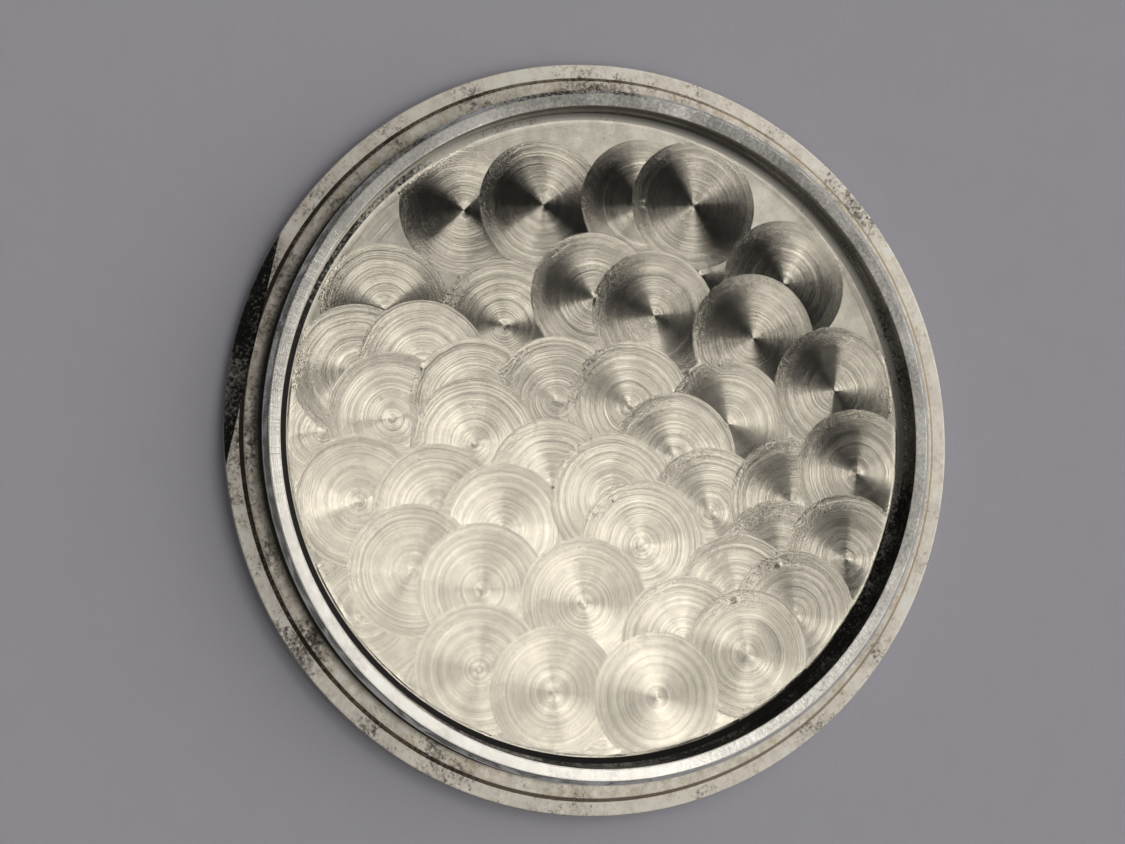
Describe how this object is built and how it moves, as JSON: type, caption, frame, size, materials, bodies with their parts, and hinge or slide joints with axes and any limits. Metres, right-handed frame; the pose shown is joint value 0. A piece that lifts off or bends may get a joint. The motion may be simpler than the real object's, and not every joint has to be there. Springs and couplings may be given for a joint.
{
  "type": "watch case back",
  "caption": "Round steel snap-fit wristwatch back, open inner side up: flat flange, thin snap rim with a bead, circular-grained floor, knife notch and a rubber gasket under the bead.",
  "frame": {"origin": "centre of the flat outer face, on the axis that the back is turned on", "axes": "+Z along the turning axis, out of the open inner side; the knife notch is centred on -Y; +X completes the right-handed frame"},
  "size_m": [0.031, 0.031, 0.002],
  "materials": {
    "steel": "turned steel, circular-grained on the inner floor, with grime on the flange",
    "gasket_rubber": "aged black rubber, slightly shiny"
  },
  "bodies": {
    "back": {"case_back": "steel"},
    "gasket": {"sealing_gasket": "gasket_rubber"}
  },
  "joints": [
    {"name": "gasket_lift", "type": "slide", "parent": "back", "child": "gasket", "axis": [0, 0, 1], "range_m": [0, 0.003], "deforming": ["sealing_gasket"]}
  ]
}
